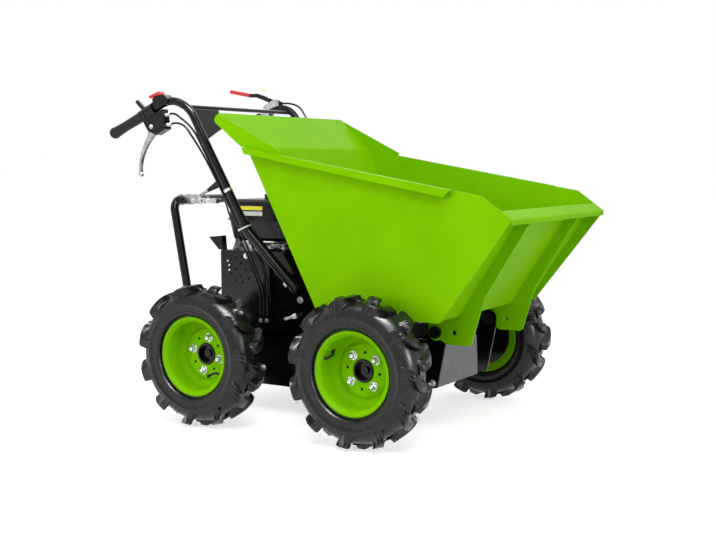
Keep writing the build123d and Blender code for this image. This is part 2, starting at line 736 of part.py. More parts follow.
def handle_panel():
    """Small plate in the corner between the right leg and the crossbar."""
    leg = (HANDLE_JOINT[0] - HANDLE_CORNER[0], 0, HANDLE_JOINT[2] - HANDLE_CORNER[1])
    frame = Plane((CROSSBAR[0], 0, CROSSBAR[1]), x_dir=(0, 1, 0), z_dir=(-leg[2], 0, leg[0]))
    outline = Polygon((-258, -8), (-112, -8), (-112, -64), (-252, -124), align=None)
    return extrude(frame * outline, 3, dir=frame.z_dir) - handle_tubes()


def right_hand(outline, half_width):
    """Plate of an (x, z) outline, centred on the right grip tube."""
    return slab(outline, -HANDLE_Y - half_width, -HANDLE_Y + half_width)


def lever_housing():
    """Clamped block under the right grip tube that holds the brake lever's root."""
    outline = Polygon(
        (-553, 892), (-562, 879), (-545, 853), (-512, 840), HOUSING_LOW, HOUSING_HIGH, align=None
    )
    block = right_hand(outline, HOUSING_HALF_WIDTH)
    clamp = grip_plane(-1, 147) * ring(34, 20)
    room = grip_plane(-1, GRIP_LENGTH) * ring(THROTTLE_RING + 2, THROTTLE_RADIUS + 0.5, 0.1)
    return block + clamp - room - handle_tubes()


def from_housing(share, distance):
    """Point square off the housing's front face, a share of the way up it."""
    rise = Vector(*HOUSING_HIGH) - Vector(*HOUSING_LOW)
    foot = Vector(*HOUSING_LOW) + rise * share
    off = Vector(rise.Y, -rise.X).normalized() * distance
    return on_side(-1, foot.X + off.X, foot.Y + off.Y)


def brake_lever():
    """Curved alloy blade with a ball at its tip, rooted in the housing."""
    tip = (-587, 722)
    rear = Spline((-548, 856), (-567, 817), (-584, 778), (-591, tip[1] + 5))
    front = Spline((-583, tip[1] + 5), (-575, 776), (-551, 815), (-515, 852))
    blade = make_face(rear + Line(rear @ 1, front @ 0) + front + Line(front @ 1, rear @ 0))
    ball = Pos(tip[0], -HANDLE_Y, tip[1]) * Sphere(8.5)
    return right_hand(blade, LEVER_WIDTH / 2) + ball - lever_housing()


def throttle_lever():
    """Thumb lever on a ring in front of the right grip."""
    blade = Polygon((-571, 914), (-560, 919), (-594, 948), (-601, 941), align=None)
    band = grip_plane(-1, GRIP_LENGTH + 1) * ring(THROTTLE_RING, THROTTLE_RADIUS)
    return band + right_hand(blade, 5)


def stop_switch():
    """Switch box that saddles the right tube where it starts to bend."""
    outline = Polygon(
        (-519, 926), (-522, 946), (-514, 957), (-478, 960), (-460, 946), (-466, 930), align=None
    )
    return right_hand(fillet(outline.vertices(), 4), 16) - handle_tubes()


def stop_button():
    """Red rocker that overhangs the switch box to the rear."""
    outline = Polygon((-541, 957), (-537, 950), (-493, 956), (-495, 963), (-501, 970), align=None)
    return right_hand(outline, 11) - stop_switch()


def drive_bracket():
    """Clamp on the left tube with two cheeks that hold the drive lever between them."""
    clamp = grip_plane(1, 172) * ring(28, 17)
    cheek = Polygon((-536, 908), (-508, 918), (-466, 952), (-470, 968), (-486, 972), (-530, 950), align=None)
    inner = HANDLE_Y - LEVER_WIDTH / 2
    outer = HANDLE_Y + LEVER_WIDTH / 2
    cheeks = [slab(cheek, inner - SHEET, inner), slab(cheek, outer, outer + SHEET)]
    return clamp + cheeks - handle_tubes()


def drive_line(low, high, radius):
    """Round bar along the drive lever's straight rear end, between two distances from its tip."""
    ends = [along(DRIVE_TIP, DRIVE_HEEL, distance) for distance in (low, high)]
    return rod(Line(*[on_side(1, x, z) for x, z in ends]), radius)


def drive_lever():
    """Cranked blade between the bracket's cheeks, drawn out to a round bar for its grip."""
    upper = [(-590, 994), (-560, 994), (-530, 985), (-488, 969), (-458, 963)]
    lower = [(-458, 951), (-492, 955), (-534, 971), (-562, 981), (-590, 982)]
    half = LEVER_WIDTH / 2 - 0.2
    blade = slab(Polygon(*upper, *lower, align=None), HANDLE_Y - half, HANDLE_Y + half)
    return blade + drive_line(6, 98, DRIVE_ROD_RADIUS) - handle_tubes()


def drive_grip():
    """Red sleeve over the drive lever's round end."""
    return drive_line(0, 86, DRIVE_GRIP_RADIUS) - drive_line(6, 98, DRIVE_ROD_RADIUS)


def beside_leg(side, share, rear, out=0):
    """Point next to a handle leg: a share of the way down it, then offset to the rear and outwards."""
    top = Vector(*on_side(1, *HANDLE_CORNER))
    leg = Vector(*HANDLE_JOINT) - top
    back = Vector(leg.Z, 0, -leg.X).normalized()
    point = top + leg * share + back * rear + Vector(0, out, 0)
    return (point.X, side * point.Y, point.Z)


def cable(*points):
    """Control cable along a route, each bend as wide as the runs beside it allow."""
    runs = [Vector(*end) - Vector(*start) for start, end in zip(points, points[1:])]
    bends = []
    for before, after in zip(runs, runs[1:]):
        half_turn = radians(before.get_angle(after)) / 2
        bends.append(CABLE_BEND_SHARE * min(before.length, after.length) / tan(half_turn))
    return rod(FilletPolyline(*points, radius=bends), CABLE_RADIUS)


def control_cables():
    """Cables from the hand controls down the legs, and from the gear change, to the glands."""
    gland_y = SIDE_PLATE_Y + LEDGE_WIDTH / 2 - 1
    above_gland = GLAND_TOP_Z + 70
    brake = cable(
        from_housing(0.2, 0), from_housing(0.2, 36), (-408, -HANDLE_Y, 866),
        beside_leg(-1, 0.45, 24, 3), beside_leg(-1, 0.93, 17, 5), (-240, -194, 490),
        (-208, -gland_y, above_gland), (-208, -gland_y, GLAND_TOP_Z),
    )
    throttle = cable(
        from_housing(0.7, 0), from_housing(0.7, 32), beside_leg(-1, 0.25, 17, 5),
        beside_leg(-1, 0.91, 17, -5), (-236, -186, 506),
        (-195, -gland_y, above_gland + 60), (-195, -gland_y, GLAND_TOP_Z),
    )
    gear = cable(
        GEAR_CABLE_START, (-398, *GEAR_CABLE_START[1:]), (-345, -160, 606), (-292, -194, 555),
        (-256, -182, 480), (-220, -gland_y, above_gland), (-220, -gland_y, GLAND_TOP_Z),
    )
    drive = cable(
        (-458, HANDLE_Y, 957), (-426, HANDLE_Y, 957), (-386, HANDLE_Y, 946), (-352, HANDLE_Y - 4, 905),
        beside_leg(1, 0.42, -22, 6), beside_leg(1, 0.78, -12, 22), (-256, 232, 520),
        (-204, gland_y, above_gland), (-204, gland_y, GLAND_TOP_Z),
    )
    return Compound([brake, throttle, gear, drive])


# Rear guard and gear change


def rear_guard():
    """Bent hoop of tube behind the engine, its feet welded to the rear plate by two blocks."""
    left = [on_side(1, *GUARD_FOOT, GUARD_Y), on_side(1, *GUARD_TOP, GUARD_Y)]
    right = [on_side(-1, *GUARD_TOP, GUARD_Y), on_side(-1, *GUARD_FOOT, GUARD_Y)]
    hoop = rod(FilletPolyline(*left, *right, radius=[GUARD_BEND, GUARD_BEND]), GUARD_RADIUS)
    block = Box(18, 18, 30, align=(Align.MAX, Align.CENTER, Align.CENTER))
    return hoop + both_sides(Pos(CHASSIS_REAR_X - REAR_PLATE, GUARD_Y, GUARD_FOOT[1] + 17) * block)


def rear_plate():
    """Plate that closes the chassis at the rear."""
    height = DECK_Z - REAR_LOW_Z
    plate = Box(REAR_PLATE, 2 * SIDE_PLATE_Y, height, align=(Align.MAX, Align.CENTER, Align.MIN))
    return Pos(CHASSIS_REAR_X, 0, REAR_LOW_Z) * plate


def shift_gate():
    """Two drilled plates clamped to the guard's top bar, the gear lever's pin and the cable's stop."""
    outline = Polygon(
        (GUARD_TOP[0], 629), (-502, 628), (-440, 631), (-440, 645), (-490, 647), (-507, 657),
        (GUARD_TOP[0], 655), align=None
    )
    holes = [Pos(x, 638) * Circle(4) for x in (-522, -488, -462)]
    bar = Pos(*GUARD_TOP) * Circle(GUARD_RADIUS)
    collar = Pos(*GUARD_TOP) * Circle(GUARD_RADIUS + 5) - bar
    near = -LEVER_Y - GATE_HALF_WIDTH
    far = -LEVER_Y + GATE_HALF_WIDTH
    pin = slab(Pos(*LEVER_LOW) * Circle(LEVER_PIN_RADIUS), near, far)
    pieces = []
    for y in (near, far - COLLAR_LENGTH):
        pieces.append(slab(outline - bar - holes, y, y + SHEET))
        pieces.append(slab(collar, y, y + COLLAR_LENGTH))
    x, y, z = GEAR_CABLE_START
    stop = Pos(x, y, z) * Box(16, COLLAR_LENGTH, 16, align=(Align.MAX, Align.CENTER, Align.CENTER))
    return pin + pieces + stop


def lever_line(low, high):
    """Stretch of the gear lever's axis, measured from its pin."""
    ends = [along(LEVER_LOW, LEVER_HIGH, distance) for distance in (low, high)]
    return Line(*[(x, -LEVER_Y, z) for x, z in ends])


def gear_lever():
    """Round bar with an eye on the gate's pin."""
    eye = Pos(*LEVER_LOW) * Circle(10)
    pin = Pos(*LEVER_LOW) * Circle(LEVER_PIN_RADIUS)
    boss = slab(eye, -LEVER_Y - 9, -LEVER_Y + 9)
    bar = rod(lever_line(0, KNOB_START + 20), 5)
    return boss + bar - slab(pin, -LEVER_Y - 20, -LEVER_Y + 20)


def gear_knob():
    """Tapered hand knob over the end of the gear lever."""
    axis = lever_line(KNOB_START, KNOB_START + 56)
    start = Plane(axis @ 0, z_dir=axis % 0)
    profile = [(0, 0), (6, 0), (12, 44), (11, 52), (7, 56), (0, 56)]
    knob = revolve(Plane.XZ * Polygon(*profile, align=None), Axis.Z)
    return start * knob - rod(lever_line(KNOB_START - 5, KNOB_START + 20), 5)


def release_paddle():
    """Flared thumb plate on the rear corner of the belt cover."""
    outline = Polygon((-431, 528), (-381, 533), (-377, 490), (-393, 490), align=None)
    return slab(outline, -COVER_Y, -COVER_Y + 22)


def all_nodes():
    nodes = wheels()
    nodes["front_axle"] = axle_tubes(WHEELBASE / 2)
    nodes["rear_axle"] = axle_tubes(-WHEELBASE / 2)
    nodes["handle_tubes"] = Compound(handle_tubes())
    nodes["handle_arms"] = Compound(handle_arms())
    nodes["tub_side_left"], nodes["tub_side_right"] = both_sides(tub_side())
    singles = [
        side_plates, pivot_pins, front_plate, deck, belly_plate, gearbox, tub_rest, rear_plate,
        tub_pan, rear_board, hinge_ribs,
        engine_block, engine_cylinder, fuel_tank, fuel_cap, tank_bracket, air_cleaner, muffler,
        recoil_starter, carburettor, belt_cover,
        grips, crossbar, handle_panel, lever_housing, brake_lever, throttle_lever, stop_switch,
        stop_button, drive_bracket, drive_lever, drive_grip, control_cables,
        rear_guard, shift_gate, gear_lever, gear_knob, release_paddle,
    ]
    for maker in singles:
        nodes[maker.__name__] = maker()
    return nodes


os.makedirs("parts", exist_ok=True)
assembly = all_nodes()
extent = Compound(list(assembly.values())).bounding_box()
middle_x = (extent.min.X + extent.max.X) / 2
print("box", extent.min, extent.max, "middle", middle_x)
for node, shape in assembly.items():
    export_step(Pos(-middle_x, 0, 0) * shape, f"parts/{node}.step")
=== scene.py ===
import bpy
import bmesh
import json
from math import atan2, cos, degrees, pi, radians, sin
from mathutils import Matrix, Vector
from mathutils.bvhtree import BVHTree


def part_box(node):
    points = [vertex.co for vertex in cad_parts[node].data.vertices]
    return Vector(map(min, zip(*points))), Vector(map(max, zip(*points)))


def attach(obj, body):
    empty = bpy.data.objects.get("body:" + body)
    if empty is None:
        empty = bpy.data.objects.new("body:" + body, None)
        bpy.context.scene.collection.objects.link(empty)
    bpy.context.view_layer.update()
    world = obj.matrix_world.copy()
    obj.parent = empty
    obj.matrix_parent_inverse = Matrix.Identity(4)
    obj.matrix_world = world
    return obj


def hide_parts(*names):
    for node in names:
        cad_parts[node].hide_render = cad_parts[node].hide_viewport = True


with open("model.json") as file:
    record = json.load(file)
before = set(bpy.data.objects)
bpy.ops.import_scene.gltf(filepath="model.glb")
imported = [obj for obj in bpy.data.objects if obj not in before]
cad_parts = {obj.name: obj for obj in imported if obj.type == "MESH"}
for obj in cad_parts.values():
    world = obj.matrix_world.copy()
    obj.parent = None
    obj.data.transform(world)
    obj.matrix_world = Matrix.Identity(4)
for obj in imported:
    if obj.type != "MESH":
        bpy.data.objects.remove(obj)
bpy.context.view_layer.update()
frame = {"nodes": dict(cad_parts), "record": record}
NODES = frame["nodes"]
MM = 0.001

# Lengths below are mm on the machine: X forward from the middle between the axles, Y left, Z up.
# The frame's zero lies this far behind that middle.
MIDDLE_X = 18.494
AXLE_X = {"front": 267, "rear": -267}
WHEEL_Y = 391
AXLE_Z = 206

# The view of the photograph, in metres and degrees
EYE = Vector((1.8492, -2.8933, 0.7496))
AZIMUTH = radians(32.03)
ELEVATION = radians(5.30)
ROLL = radians(-0.2)
LENS_MM = 57.15
SENSOR_MM = 36.0


# Materials


def linear(code):
    """An sRGB hex colour as linear RGBA."""
    parts = [int(code[i:i + 2], 16) / 255 for i in (1, 3, 5)]
    return tuple(c / 12.92 if c <= 0.04045 else ((c + 0.055) / 1.055) ** 2.4 for c in parts) + (1.0,)


def add(tree, kind, inputs=(), **settings):
    """Adds a node, sets its properties, and fills or links its inputs."""
    node = tree.nodes.new("ShaderNode" + kind)
    for name, value in settings.items():
        setattr(node, name, value)
    for name, value in dict(inputs).items():
        if isinstance(value, bpy.types.NodeSocket):
            tree.links.new(value, node.inputs[name])
        else:
            node.inputs[name].default_value = value
    return node


def new_material(name, **sockets):
    """A material with one principled shader, its even values set on the shader's own sockets."""
    made = bpy.data.materials.new(name)
    made.use_nodes = True
    tree = made.node_tree
    shader = tree.nodes["Principled BSDF"]
    for socket, value in sockets.items():
        shader.inputs[socket.replace("_", " ")].default_value = value
    place = add(tree, "TexCoord").outputs["Object"]
    return made, tree, shader, place


def mottled(tree, shader, place, dark, light, size_mm):
    """Base colour that drifts between two shades over patches of a real size."""
    noise = add(tree, "TexNoise", {"Vector": place, "Scale": 1 / (size_mm * MM), "Detail": 3.0})
    blend = add(tree, "ValToRGB", {"Fac": noise.outputs["Fac"]})
    blend.color_ramp.elements[0].position = 0.35
    blend.color_ramp.elements[1].position = 0.65
    blend.color_ramp.elements[0].color = linear(dark)
    blend.color_ramp.elements[1].color = linear(light)
    tree.links.new(blend.outputs["Color"], shader.inputs["Base Color"])


def rippled(tree, shader, place, size_mm, depth_mm, detail=2.0):
    """Fine bump of a real grain size and depth."""
    noise = add(tree, "TexNoise", {"Vector": place, "Scale": 1 / (size_mm * MM), "Detail": detail})
    bump = add(tree, "Bump", {"Height": noise.outputs["Fac"], "Strength": 1.0, "Distance": depth_mm * MM})
    tree.links.new(bump.outputs["Normal"], shader.inputs["Normal"])


def uneven_gloss(tree, shader, place, low, high, size_mm):
    """Roughness that drifts between two values over patches of a real size."""
    noise = add(tree, "TexNoise", {"Vector": place, "Scale": 1 / (size_mm * MM), "Detail": 2.0})
    reach = add(tree, "MapRange", {"Value": noise.outputs["Fac"], "To Min": low, "To Max": high})
    tree.links.new(reach.outputs["Result"], shader.inputs["Roughness"])


def green_powder_coat():
    """Polyester powder coat on sheet steel: even lime green, half gloss, with a faint orange-peel skin."""
    made, tree, shader, place = new_material("green_powder_coat", IOR=1.5, Specular_IOR_Level=0.02)
    mottled(tree, shader, place, "#76B900", "#7DC002", 160)
    uneven_gloss(tree, shader, place, 0.36, 0.48, 90)
    rippled(tree, shader, place, 5, 0.05)
    return made


def black_powder_coat():
    """Powder coat on steel tube and plate: half-gloss black, a little grey where it is scuffed."""
    made, tree, shader, place = new_material("black_powder_coat", IOR=1.5, Specular_IOR_Level=0.26)
    mottled(tree, shader, place, "#070708", "#0E0E0F", 60)
    uneven_gloss(tree, shader, place, 0.06, 0.24, 50)
    rippled(tree, shader, place, 3, 0.04)
    return made


def tyre_rubber():
    """Moulded tyre rubber, new from the mould: near-black with a waxy sheen and a fine uneven skin."""
    made, tree, shader, place = new_material("tyre_rubber", IOR=1.52, Specular_IOR_Level=0.3)
    mottled(tree, shader, place, "#08080A", "#1A1A1B", 12)
    uneven_gloss(tree, shader, place, 0.18, 0.4, 14)
    rippled(tree, shader, place, 6, 0.3, 5.0)
    return made


def moulded_plastic():
    """Injection-moulded black plastic with a fine spark-eroded grain."""
    made, tree, shader, place = new_material("moulded_plastic", IOR=1.49, Specular_IOR_Level=0.28)
    mottled(tree, shader, place, "#080809", "#0F0F10", 30)
    uneven_gloss(tree, shader, place, 0.14, 0.3, 25)
    rippled(tree, shader, place, 1.2, 0.02)
    return made


def grip_rubber():
    """Soft black grip rubber: dull, with a fine pebbled skin."""
    made, tree, shader, place = new_material("grip_rubber", IOR=1.52, Specular_IOR_Level=0.25)
    mottled(tree, shader, place, "#0F0F10", "#161617", 20)
    uneven_gloss(tree, shader, place, 0.42, 0.6, 12)
    rippled(tree, shader, place, 1.5, 0.06)
    return made


def zinc_with_painted_shade():
    """Zinc plating on pressed brackets: pale grey metal with cloudy gloss, its grey set darker than the
    bolts' zinc as painted shade.
    """
    made, tree, shader, place = new_material("zinc_with_painted_shade", Metallic=1.0)
    # Painted shade: the zinc is darkened so that it reads grey instead of mirroring the white surroundings;
    # the bolts have a lighter copy.
    mottled(tree, shader, place, "#9FA1A3", "#C6C8CA", 12)
    uneven_gloss(tree, shader, place, 0.24, 0.44, 8)
    rippled(tree, shader, place, 1.5, 0.015)
    return made


def zinc_with_painted_light():
    """Zinc on bolts and small fittings, nearly white and dulled to a soft gloss: a lighter copy of the
    brackets' zinc, its colour raised as painted light so that bolts lying in shade still read bright.
    """
    made, tree, shader, place = new_material("zinc_with_painted_light", Metallic=1.0)
    # Painted light: these greys are lighter than the brackets' zinc so that bolts in shade read nearly
    # white.
    mottled(tree, shader, place, "#CACCCE", "#E6E7E8", 8)
    uneven_gloss(tree, shader, place, 0.3, 0.5, 6)
    rippled(tree, shader, place, 1.5, 0.015)
    return made


def blackened_steel():
    """Oil-blackened steel of the tub's pins: dark metal with a dull sheen."""
    made, tree, shader, place = new_material("blackened_steel", Metallic=1.0)
    mottled(tree, shader, place, "#232425", "#343536", 12)
    uneven_gloss(tree, shader, place, 0.35, 0.5, 8)
    rippled(tree, shader, place, 1.5, 0.02)
    return made


def chromed_steel():
    """Chrome on the wheel nuts: bright, with the faint waviness of a forged nut under it."""
    made, tree, shader, place = new_material("chromed_steel", Metallic=1.0)
    mottled(tree, shader, place, "#CFD0D1", "#DDDEDF", 9)
    uneven_gloss(tree, shader, place, 0.2, 0.34, 6)
    rippled(tree, shader, place, 4, 0.05)
    return made


def polished_aluminium():
    """Die-cast lever, tumbled and polished: bright metal with soft marks."""
    made, tree, shader, place = new_material("polished_aluminium", Metallic=1.0)
    mottled(tree, shader, place, "#A6A8AA", "#CFD0D1", 18)
    uneven_gloss(tree, shader, place, 0.14, 0.26, 15)
    rippled(tree, shader, place, 5, 0.02)
    return made


def cast_aluminium():
    """As-cast aluminium: grey metal with a grainy skin."""
    made, tree, shader, place = new_material("cast_aluminium", Metallic=1.0)
    mottled(tree, shader, place, "#8E9092", "#B2B4B5", 14)
    uneven_gloss(tree, shader, place, 0.42, 0.6, 10)
    rippled(tree, shader, place, 1.6, 0.12, 4.0)
    return made


def dark_casting():
    """Painted casting of the crankcase and gear case: dull dark grey over a sandy skin."""
    made, tree, shader, place = new_material("dark_casting", IOR=1.5, Specular_IOR_Level=0.25)
    mottled(tree, shader, place, "#111213", "#1A1B1C", 25)
    uneven_gloss(tree, shader, place, 0.4, 0.55, 20)
    rippled(tree, shader, place, 2, 0.15, 4.0)
    return made


def grey_steel():
    """Satin grey paint on the front plate."""
    made, tree, shader, place = new_material("grey_steel", IOR=1.5, Specular_IOR_Level=0.25)
    mottled(tree, shader, place, "#57595B", "#616365", 60)
    uneven_gloss(tree, shader, place, 0.32, 0.48, 40)
    rippled(tree, shader, place, 3, 0.04)
    return made


def muffler_steel():
    """Bare steel dulled by heat: brown-grey metal with cloudy patches."""
    made, tree, shader, place = new_material("muffler_steel", Metallic=1.0)
    mottled(tree, shader, place, "#6E6A66", "#8C8A87", 22)
    uneven_gloss(tree, shader, place, 0.4, 0.6, 15)
    rippled(tree, shader, place, 3, 0.05)
    return made


def red_plastic():
    """Glossy red moulded plastic with a slightly uneven skin."""
    made, tree, shader, place = new_material("red_plastic", IOR=1.49)
    mottled(tree, shader, place, "#C4161B", "#D01E22", 20)
    uneven_gloss(tree, shader, place, 0.2, 0.32, 10)
    rippled(tree, shader, place, 2, 0.02)
    return made


def yellow_vinyl():
    """Printed vinyl film, plain yellow: smooth and half gloss, a little uneven where it follows the tank."""
    made, tree, shader, place = new_material("yellow_vinyl", IOR=1.5)
    mottled(tree, shader, place, "#FFE41A", "#FFEE38", 15)
    uneven_gloss(tree, shader, place, 0.25, 0.4, 10)
    return made


def pale_vinyl():
    """Printed vinyl film, plain light grey."""
    made, tree, shader, place = new_material("pale_vinyl", IOR=1.5)
    mottled(tree, shader, place, "#D6D9D4", "#E2E5E0", 15)
    uneven_gloss(tree, shader, place, 0.25, 0.4, 10)
    return made


def white_nylon():
    """Moulded white nylon of a cable tie: slightly see-through and waxy."""
    made, tree, shader, place = new_material("white_nylon", IOR=1.53)
    mottled(tree, shader, place, "#E6E7E4", "#F0F1EE", 8)
    uneven_gloss(tree, shader, place, 0.35, 0.5, 5)
    return made


FINISH = {
    "green_paint": green_powder_coat(),
    "tyre_rubber": tyre_rubber(),
    "hub_steel": blackened_steel(),
    "black_paint": black_powder_coat(),
    "grey_plate": grey_steel(),
    "cast_grey": dark_casting(),
    "alloy": cast_aluminium(),
    "black_plastic": moulded_plastic(),
    "muffler_steel": muffler_steel(),
    "polished_alloy": polished_aluminium(),
    "grip_rubber": grip_rubber(),
    "red_plastic": red_plastic(),
    "zinc": zinc_with_painted_shade(),
}
FINISH["rest_rubber"] = FINISH["grip_rubber"]
ZINC_WITH_PAINTED_LIGHT = zinc_with_painted_light()
CHROME = chromed_steel()
YELLOW = yellow_vinyl()
PALE = pale_vinyl()
NYLON = white_nylon()

for part in frame["record"]["subparts"]:
    node = NODES[part["node"]]
    node.data.materials.clear()
    node.data.materials.append(FINISH[part["material_slot"]])


# Tools for the pieces that the solids leave to the scene


def at(x, y, z):
    """A point of the machine as a point of the frame."""
    return Vector((x + MIDDLE_X, y, z)) * MM


def lathe(profile, steps=24):
    """A shape turned about Z from (radius, height) points; six steps turn a hexagon."""
    shape = bmesh.new()
    points = [shape.verts.new((radius * MM, 0, height * MM)) for radius, height in profile]
    edges = [shape.edges.new(pair) for pair in zip(points, points[1:])]
    bmesh.ops.spin(
        shape, geom=points + edges, cent=(0, 0, 0), axis=(0, 0, 1), angle=2 * pi, steps=steps, use_merge=True
    )
    bmesh.ops.remove_doubles(shape, verts=shape.verts, dist=1e-6)
    return shape


def block(length, width, height, edge):
    """A block with rounded edges, standing on the origin."""
    shape = bmesh.new()
    bmesh.ops.create_cube(shape, size=MM)
    bmesh.ops.scale(shape, vec=(length, width, height), verts=shape.verts)
    bmesh.ops.translate(shape, vec=(0, 0, height / 2 * MM), verts=shape.verts)
    bmesh.ops.bevel(
        shape, geom=shape.edges[:], offset=edge * MM, affect="EDGES", segments=3, profile=0.5, material=-1
    )
    return shape


def bent_rod(points, radius):
    """A round rod, wire or rubber stem that bends smoothly past its points in the frame."""
    curve = bpy.data.curves.new("bent_rod", "CURVE")
    curve.dimensions = "3D"
    curve.bevel_depth = radius * MM
    curve.bevel_resolution = 4
    curve.use_fill_caps = True
    line = curve.splines.new("NURBS")
    line.points.add(len(points) - 1)
    for knot, point in zip(line.points, points):
        knot.co = (*point, 1)
    line.order_u = min(3, len(points))
    line.use_endpoint_u = True
    holder = bpy.data.objects.new("bent_rod", curve)
    mesh = bpy.data.meshes.new_from_object(holder)
    shape = bmesh.new()
    shape.from_mesh(mesh)
    bmesh.ops.remove_doubles(shape, verts=shape.verts, dist=1e-6)
    bpy.data.objects.remove(holder)
    bpy.data.curves.remove(curve)
    bpy.data.meshes.remove(mesh)
    return shape


def coil(radius, wire, turns, length):
    """A coil spring along Z."""
    shape = bmesh.new()
    stand = Matrix.Translation((radius * MM, 0, 0)) @ Matrix.Rotation(pi / 2, 4, "X")
    bmesh.ops.create_circle(shape, segments=8, radius=wire * MM, cap_ends=False, matrix=stand)
    steps = 16 * turns
    bmesh.ops.spin(
        shape, geom=shape.verts[:] + shape.edges[:], cent=(0, 0, 0), axis=(0, 0, 1),
        dvec=(0, 0, length * MM / steps), angle=2 * pi * turns, steps=steps,
    )
    return shape


def seat(point, outward, turn=0.0):
    """Stands a shape's base on a point of the frame, with its Z axis outward."""
    aim = Vector(outward).to_track_quat("Z", "Y").to_matrix().to_4x4()
    return Matrix.Translation(point) @ aim @ Matrix.Rotation(turn, 4, "Z")


# Search trees of the nodes that pieces were landed on, built once each
SURFACES = {}


def land(node, x, z, side, start=700):
    """Where a line across the machine, from one side, first meets a node."""
    if node not in SURFACES:
        mesh = NODES[node].data
        SURFACES[node] = BVHTree.FromPolygons(
            [corner.co for corner in mesh.vertices], [face.vertices for face in mesh.polygons]
        )
    met = SURFACES[node].ray_cast(at(x, side * start, z), (0, -side, 0))[0]
    if met is None:
        raise ValueError(f"{node} isn't met at x {x}, z {z}")
    return met


def new_piece(name, parts, finish, body, sharp=35):
    """Joins shapes, each set in its place, into one piece that rides on a body."""
    mesh = bpy.data.meshes.new(name)
    whole = bmesh.new()
    for shape, place in parts:
        shape.transform(place)
        bmesh.ops.recalc_face_normals(shape, faces=shape.faces)
        shape.to_mesh(mesh)
        whole.from_mesh(mesh)
        shape.free()
    whole.to_mesh(mesh)
    whole.free()
    mesh.shade_smooth()
    mesh.set_sharp_from_angle(angle=radians(sharp))
    mesh.materials.append(finish)
    piece = bpy.data.objects.new(name, mesh)
    bpy.context.collection.objects.link(piece)
    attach(piece, body)
    return piece


HEAD_TURN = 0.3


def hex_bolt(radius, height):
    """A washer and a chamfered hexagon head."""
    rim = 1.5 * radius
    washer = lathe([(0, 0), (rim, 0), (rim, 1.4), (0, 1.4)])
    head = lathe(
        [(0, 1), (radius, 1), (radius, 0.8 * height), (0.86 * radius, height), (0, height)], steps=6
    )
    return washer, head


def bolts(name, spots, radius, height, finish, body="chassis"):
    """Bolt heads, each standing on a point and pointing outward, as one piece."""
    parts = []
    for point, outward in spots:
        parts += [(shape, seat(point, outward, HEAD_TURN)) for shape in hex_bolt(radius, height)]
    return new_piece(name, parts, finish, body)


# Wheels: tyres, nuts and valve stems

LUGS = 11
LUG_PITCH = 2 * pi / LUGS
LUG_SLANT = pi / LUGS
LUG_RUN = 61.5
LUG_BASE = 160
LUG_TOP = 199
LUG_CROWN = 7
# Half the angle that a lug covers, in degrees, at its foot and at its top
LUG_FOOT = 5.2
LUG_FACE = 3.4
GROOVE_ANGLE = 1.7
GROOVE_DEPTH = 0.3
TYRE_HALF_WIDTH = 54.5
CARCASS_HALF_WIDTH = 52.5
SHOULDER_RADIUS = 150
CARCASS_RISE = 39
SHOULDER_STEPS = 13
TYRE_STEPS = 48 * LUGS
HAIR_RADIUS = 189
HAIR_WIDTH = 46
DISC_FACE = 368
BOLT_CIRCLE_RADIUS = 50
BOLT_ANGLE = {"front": 39, "rear": 77}


def eased(value, low, high):
    """0 below low, 1 above high, and smooth between."""
    share = min(max((value - low) / (high - low), 0), 1)
    return share * share * (3 - 2 * share)


def tyre_half():
    """Half of the tyre's section: radius and width of the carcass, and of the lugs over it."""
    sidewall = [
        (101.5, 31), (115.3, 34.6), (119.6, 35.4), (120.4, 41), (122.2, 46), (125.4, 48.8), (127.5, 50.4),
        (130, 50.4), (131.5, 49.8), (140, 51.6), (147, 52.3), (148.5, 53.8), (151.5, 54.2), (153, 53.4),
        (154.5, 52.4),
    ]
    half = [(radius, width, radius, width) for radius, width in sidewall]
    for step in range(SHOULDER_STEPS + 1):
        turn = radians(6 + 84 * step / SHOULDER_STEPS)
        width = TYRE_HALF_WIDTH * cos(turn) ** 0.3
        top = LUG_TOP + LUG_CROWN * (TYRE_HALF_WIDTH - width) / LUG_RUN
        half.append((
            SHOULDER_RADIUS + CARCASS_RISE * sin(turn) ** 0.9,
            CARCASS_HALF_WIDTH * max(cos(turn), 0) ** 0.9,
            LUG_BASE + (top - LUG_BASE) * sin(turn) ** 0.3,
            width,
        ))
    return half


def lug_height(angle, width):
    """1 on a lug and 0 between lugs, with soft flanks and two grooves in each outer end.

    The two rows are half a pitch apart.
    """
    height = 0
    for row, phase in ((1, 0), (-1, LUG_PITCH / 2)):
        reach = row * width
        slant = LUG_SLANT * (TYRE_HALF_WIDTH - reach) / LUG_RUN
        off = (angle + slant + pi / 2 - phase + LUG_PITCH / 2) % LUG_PITCH - LUG_PITCH / 2
        apart = abs(degrees(off))
        flank = eased(-apart, -LUG_FOOT, -LUG_FACE)
        groove = eased(reach, 38, 44) * (1 - eased(abs(apart - GROOVE_ANGLE), 0.3, 0.9))
        flank *= 1 - GROOVE_DEPTH * groove
        height = max(height, flank * eased(reach, -8.5, -5.5))
    return height


